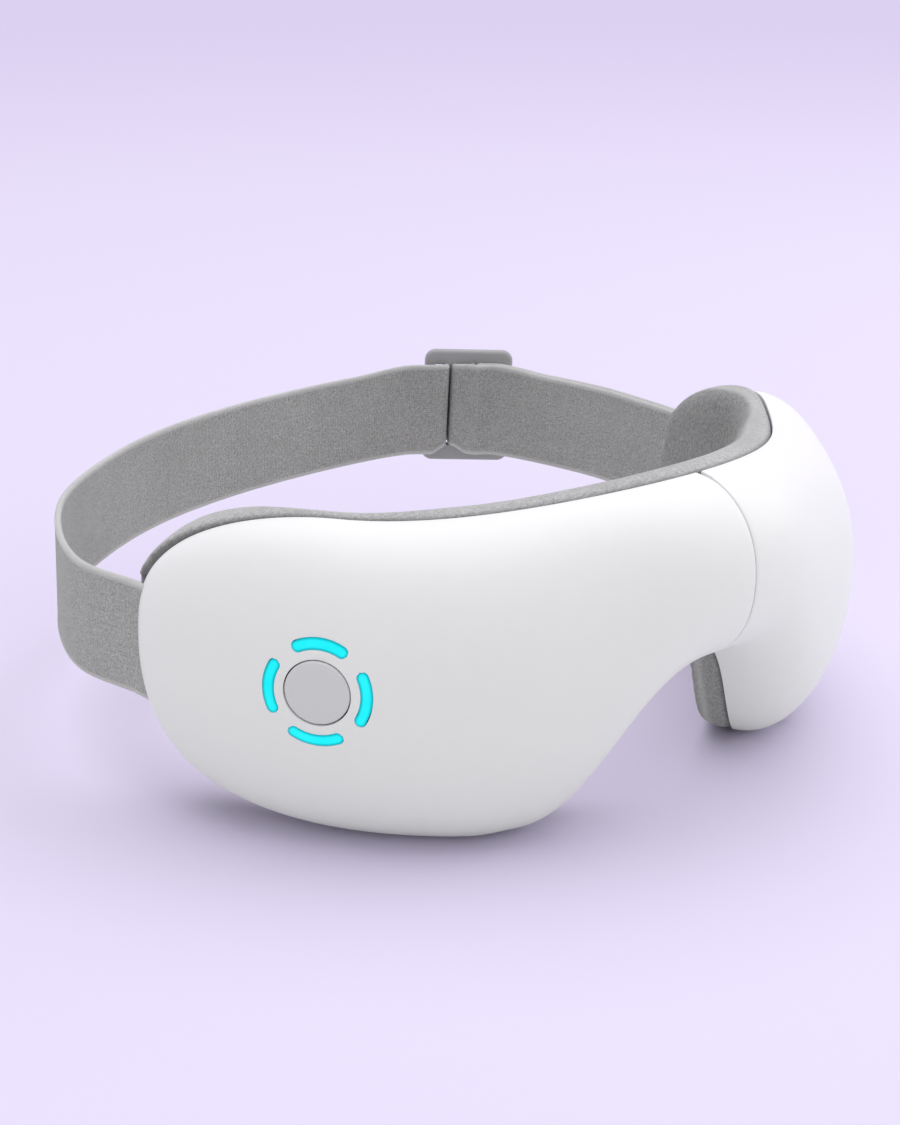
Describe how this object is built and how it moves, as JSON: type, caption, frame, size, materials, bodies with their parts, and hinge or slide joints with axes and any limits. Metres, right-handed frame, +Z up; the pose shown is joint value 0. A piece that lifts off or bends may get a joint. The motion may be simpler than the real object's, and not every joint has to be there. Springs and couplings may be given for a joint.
{
  "type": "heated eye massager",
  "caption": "Heated eye massager: hinged padded halves under moulded shells, a round push button with a light ring, and an elastic head strap with a slider.",
  "frame": {"origin": "centre of the bounding box in plan, at the level the part rests on", "axes": "+X to the right half seen from the front, the front faces -Y, the strap lies towards +Y, +Z up"},
  "size_m": [0.1924, 0.1992, 0.078],
  "materials": {
    "shell": "satin",
    "frame": "moulded",
    "cushion_cover": "suede-like short nap",
    "eye_pad_fabric": "fine knit",
    "heating_film": "satin film",
    "airbag_film": "smooth film",
    "steel": "plain",
    "battery_wrap": "shrink film",
    "circuit_board": "solder mask",
    "port_metal": "plated",
    "hose": "soft tube",
    "cable": "flat ribbon",
    "button": "satin",
    "plunger": "moulded",
    "light": "lit light guide",
    "webbing": "woven elastic",
    "slider": "satin"
  },
  "bodies": {
    "right_half": {"right_front_shell": "shell", "right_rear_frame": "frame", "right_cushion": "cushion_cover", "right_airbag": "airbag_film", "right_heating_film": "heating_film", "right_eye_pad": "eye_pad_fabric", "right_strap_pin": "steel", "right_vibration_motor": "steel", "right_screw_1": "steel", "right_screw_2": "steel", "right_screw_3": "steel", "battery": "battery_wrap", "air_pump": "steel", "charge_board": "circuit_board", "charge_port": "port_metal", "air_hose": "hose", "bridge_cable": "cable", "hinge_pin": "steel", "bridge_pad": "cushion_cover", "head_strap": "webbing"},
    "left_half": {"left_front_shell": "shell", "left_rear_frame": "frame", "left_cushion": "cushion_cover", "left_airbag": "airbag_film", "left_heating_film": "heating_film", "left_eye_pad": "eye_pad_fabric", "left_strap_pin": "steel", "left_vibration_motor": "steel", "left_screw_1": "steel", "left_screw_2": "steel", "left_screw_3": "steel", "main_board": "circuit_board", "button_board": "circuit_board", "tact_switch": "port_metal", "light_guide_1": "light", "light_guide_2": "light", "light_guide_3": "light", "light_guide_4": "light"},
    "button": {"power_button": "button", "switch_plunger": "plunger"},
    "slider": {"strap_slider": "slider"}
  },
  "joints": [
    {"name": "fold", "type": "hinge", "parent": "right_half", "child": "left_half", "pos_m": [0, -0.07802, 0.05661], "axis": [0, -0.0706, 0.9975], "range_deg": [-88, 0], "deforming": ["head_strap", "bridge_pad", "air_hose", "bridge_cable"]},
    {"name": "button_press", "type": "slide", "parent": "left_half", "child": "button", "axis": [0.8221, 0.5679, 0.0402], "range_m": [0, 0.0006], "stiffness_N_per_m": 2500, "springref_m": -0.0003},
    {"name": "slider_move", "type": "slide", "parent": "right_half", "child": "slider", "axis": [0.809, -0.5863, -0.0415], "range_m": [-0.01, 0.01], "deforming": ["head_strap"]}
  ]
}
